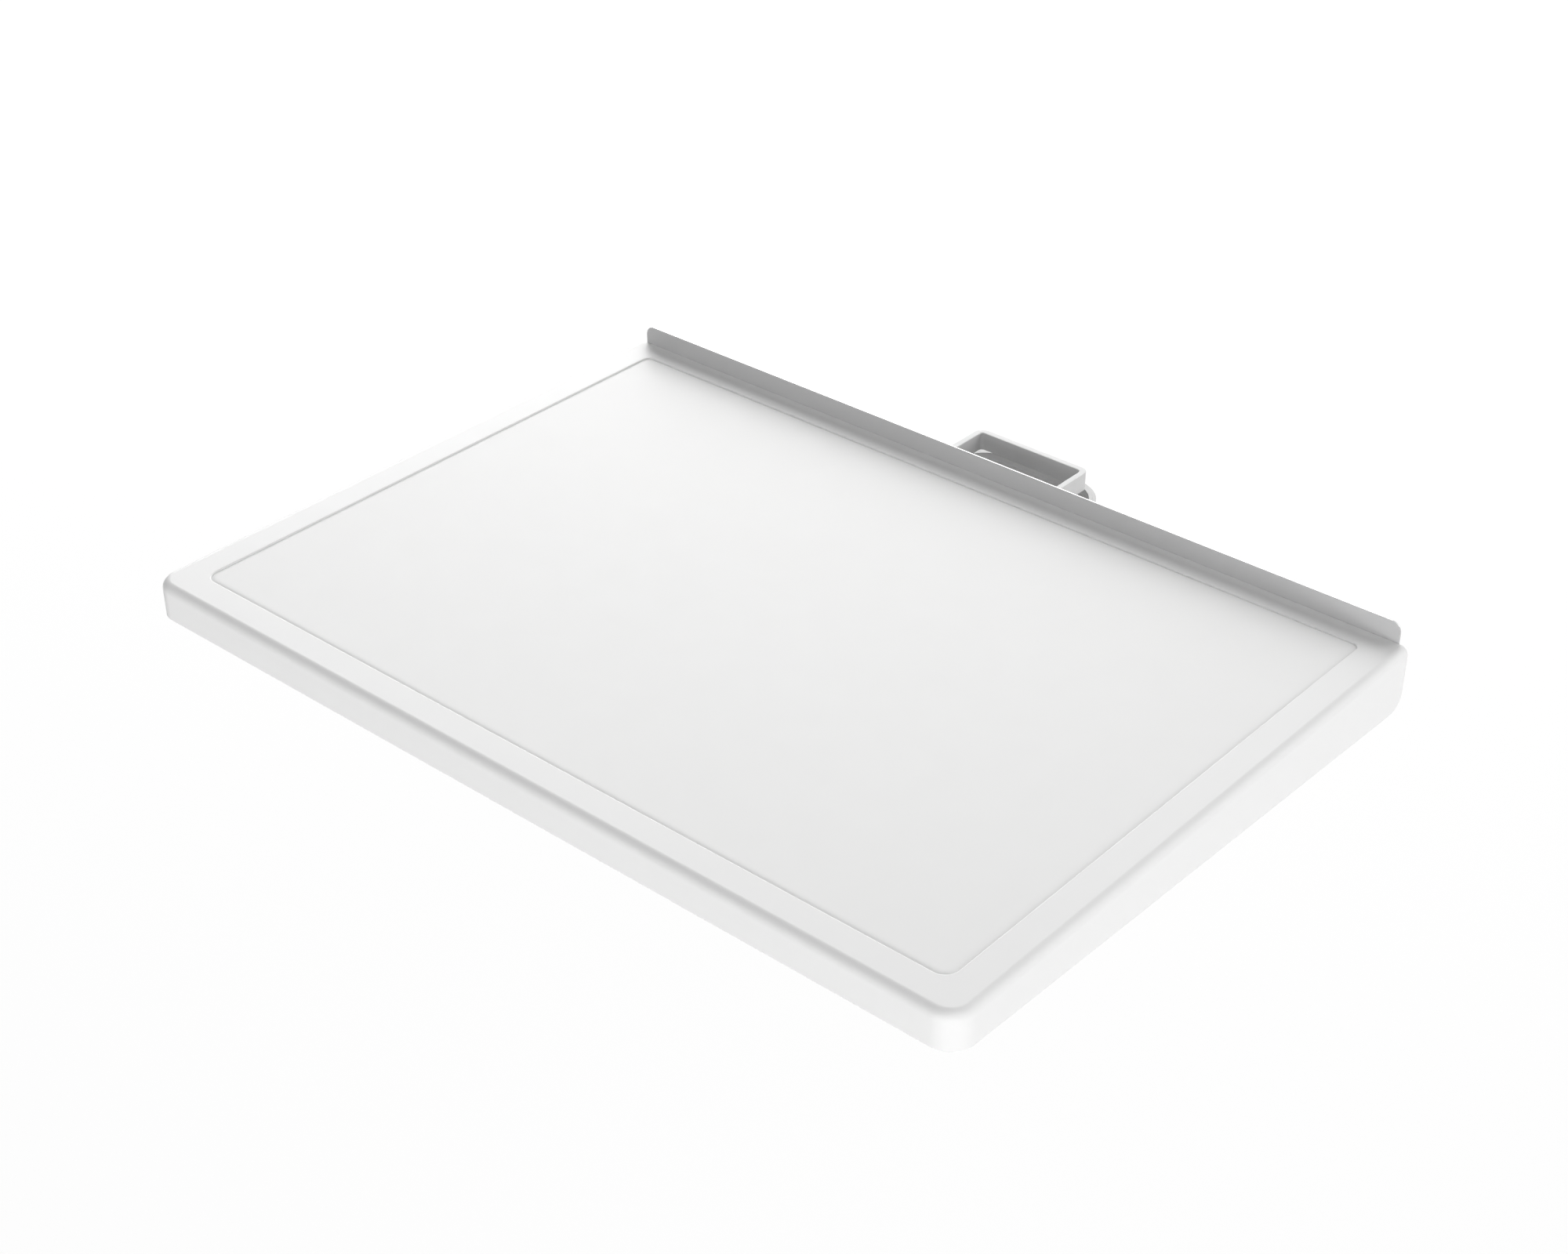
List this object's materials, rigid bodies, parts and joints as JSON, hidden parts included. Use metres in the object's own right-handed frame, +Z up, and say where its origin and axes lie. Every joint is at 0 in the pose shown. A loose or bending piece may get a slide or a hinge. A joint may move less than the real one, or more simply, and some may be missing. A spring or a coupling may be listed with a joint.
{
  "type": "post-mounted cutting board",
  "caption": "White wedge-shaped work board with a recessed lift-out cutting sheet and a rear lip, carried on an upright flat post by a guide loop and a hand-screw clamp collar.",
  "frame": {"origin": "middle of the post's passage, level with the board's rim", "axes": "+X to the right along the rear lip, +Y to the rear along the clamp screw, +Z up along the post"},
  "size_m": [0.552, 0.47, 0.094],
  "materials": {
    "white_plastic": "satin moulded plastic",
    "sheet_plastic": "fine matt polyethylene sheet",
    "grey_paint": "satin powder coat on steel sheet",
    "white_paint": "satin powder coat on a casting",
    "zinc_steel": "zinc plated",
    "liner_plastic": "smooth bearing plastic",
    "brass": "turned",
    "cast_aluminium": "cast and machined",
    "black_plastic": "fine grained moulded plastic",
    "black_rubber": "flat rubber"
  },
  "bodies": {
    "board": {"board_shell": "white_plastic", "bottom_cover": "white_plastic", "cover_screw_1": "zinc_steel", "cover_screw_2": "zinc_steel", "cover_screw_3": "zinc_steel", "cover_screw_4": "zinc_steel", "cover_screw_5": "zinc_steel", "cover_screw_6": "zinc_steel", "cover_screw_7": "zinc_steel", "cover_screw_8": "zinc_steel", "rear_plate": "grey_paint", "plate_screw_1": "zinc_steel", "plate_screw_2": "zinc_steel", "plate_screw_3": "zinc_steel", "plate_screw_4": "zinc_steel", "rear_beam": "zinc_steel", "left_arm": "zinc_steel", "right_arm": "zinc_steel", "arm_screw_1": "zinc_steel", "arm_screw_2": "zinc_steel", "arm_screw_3": "zinc_steel", "arm_screw_4": "zinc_steel", "front_rail": "zinc_steel", "rail_screw_1": "zinc_steel", "rail_screw_2": "zinc_steel", "guide_loop": "white_plastic", "loop_screw_1": "zinc_steel", "loop_screw_2": "zinc_steel", "clamp_collar": "white_paint", "collar_bolt_1": "zinc_steel", "collar_bolt_2": "zinc_steel", "collar_bolt_3": "zinc_steel", "collar_bolt_4": "zinc_steel", "collar_liner": "liner_plastic", "liner_screw_1": "zinc_steel", "liner_screw_2": "zinc_steel", "thread_bush": "brass"},
    "sheet": {"cutting_sheet": "sheet_plastic"},
    "shoe": {"clamp_shoe": "cast_aluminium", "shoe_pad": "black_rubber"},
    "knob": {"clamp_screw": "zinc_steel", "clamp_knob": "black_plastic", "knob_cap": "black_plastic"}
  },
  "joints": [
    {"name": "sheet_lift", "type": "slide", "parent": "board", "child": "sheet", "axis": [0, 0, 1], "range_m": [0, 0.06]},
    {"name": "shoe_slide", "type": "slide", "parent": "board", "child": "shoe", "axis": [0, -1, 0], "range_m": [0, 0.003]},
    {"name": "knob_turn", "type": "hinge", "parent": "shoe", "child": "knob", "pos_m": [0, 0.056, -0.061], "axis": [0, -1, 0], "range_deg": [0, 864]}
  ],
  "couplings": [
    {"joint": "knob_turn", "follows": "shoe_slide", "rad_per_m": 5026.5}
  ]
}
